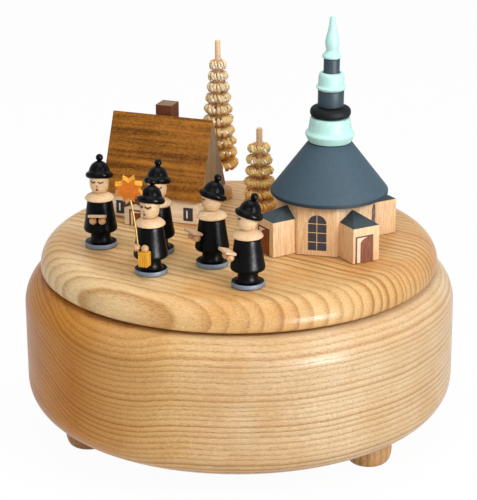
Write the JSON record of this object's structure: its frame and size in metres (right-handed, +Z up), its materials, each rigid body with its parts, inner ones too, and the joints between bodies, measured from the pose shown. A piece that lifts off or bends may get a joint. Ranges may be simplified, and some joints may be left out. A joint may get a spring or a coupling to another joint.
{
  "type": "music box",
  "caption": "Round turned-wood music box whose lid turns a small winter village, a church and carol singers over a wind-up comb movement.",
  "frame": {"origin": "on the lid's turning axis, at the surface that the feet stand on", "axes": "+Z up along the lid's turning axis, -Y towards the picture's camera, +X to the right in the picture"},
  "size_m": [0.19, 0.19, 0.1889],
  "materials": {
    "ash": "clear satin lacquer over light honey ash with open growth rings",
    "pale_wood": "bare pale turned wood, thinly waxed",
    "wall_wood": "bare sanded light wood with printed-on windows and doors",
    "roof_stain": "golden brown stain with dark grain",
    "chimney_stain": "dark red-brown stain",
    "slate_paint": "matt slate-blue paint on wood",
    "mint_paint": "satin mint-green paint on wood",
    "black_paint": "satin black paint on wood",
    "star_paint": "orange and yellow paint on wood",
    "shavings": "bare shaved curls, slightly glossy",
    "brass": "plain machined brass",
    "steel": "ground steel",
    "zinc": "bare zinc casting"
  },
  "bodies": {
    "housing": {"base_bowl": "ash", "foot_left": "ash", "foot_right": "ash", "foot_back": "ash", "bedplate": "zinc", "comb": "steel", "comb_screw_left": "steel", "comb_screw_right": "steel", "mounting_screw_left": "steel", "mounting_screw_right": "steel", "governor_frame": "brass"},
    "turntable": {"lid": "ash", "house_walls": "wall_wood", "house_roof": "roof_stain", "house_chimney": "chimney_stain", "church_walls": "wall_wood", "porch_front": "wall_wood", "porch_right": "wall_wood", "porch_back": "wall_wood", "porch_left": "wall_wood", "church_roof": "slate_paint", "tower_dome": "mint_paint", "gallery_ring": "black_paint", "tower_core": "slate_paint", "tower_bell": "mint_paint", "spire": "mint_paint", "tree_tall": "shavings", "tree_tall_base": "pale_wood", "tree_short": "shavings", "tree_short_base": "pale_wood", "singer_left_cloak": "black_paint", "singer_left_head": "pale_wood", "singer_left_hat": "black_paint", "singer_left_book": "pale_wood", "star_bearer_cloak": "black_paint", "star_bearer_head": "pale_wood", "star_bearer_hat": "black_paint", "star_bearer_lantern": "star_paint", "star_bearer_star": "star_paint", "singer_back_cloak": "black_paint", "singer_back_head": "pale_wood", "singer_back_hat": "black_paint", "singer_back_book": "pale_wood", "singer_middle_cloak": "black_paint", "singer_middle_head": "pale_wood", "singer_middle_hat": "black_paint", "singer_middle_book": "pale_wood", "singer_right_cloak": "black_paint", "singer_right_head": "pale_wood", "singer_right_hat": "black_paint", "singer_right_book": "pale_wood", "turntable_spindle": "steel", "spring_barrel": "brass", "mainspring": "steel"},
    "cylinder": {"pin_cylinder": "brass"},
    "governor_gear": {"governor_wheel": "brass"},
    "air_brake": {"governor_fan": "brass"},
    "winding": {"winding_key": "brass", "winding_arbor": "steel"},
    "pawl": {"click": "steel"}
  },
  "joints": [
    {"name": "lid_turn", "type": "hinge", "parent": "housing", "child": "turntable", "pos_m": [0, 0, 0.0747], "axis": [0, 0, 1], "continuous": true},
    {"name": "cylinder_turn", "type": "hinge", "parent": "housing", "child": "cylinder", "pos_m": [0.0335, 0, 0.04559], "axis": [1, 0, 0], "continuous": true},
    {"name": "governor_gear_turn", "type": "hinge", "parent": "housing", "child": "governor_gear", "pos_m": [0.0543, 0.00972, 0.04559], "axis": [1, 0, 0], "continuous": true},
    {"name": "air_brake_turn", "type": "hinge", "parent": "housing", "child": "air_brake", "pos_m": [0.0543, 0.01614, 0.04559], "axis": [0, 0, 1], "continuous": true},
    {"name": "key_wind", "type": "hinge", "parent": "housing", "child": "winding", "pos_m": [0, 0, 0.0187], "axis": [0, 0, 1], "range_deg": [0, 1800]},
    {"name": "click_drop", "type": "hinge", "parent": "housing", "child": "pawl", "pos_m": [0.0083, -0.0106, 0.0282], "axis": [0, 0, 1], "range_deg": [0, 5]}
  ],
  "couplings": [
    {"joint": "cylinder_turn", "follows": "lid_turn", "ratio": 4},
    {"joint": "governor_gear_turn", "follows": "lid_turn", "ratio": -12},
    {"joint": "air_brake_turn", "follows": "lid_turn", "ratio": 96}
  ]
}
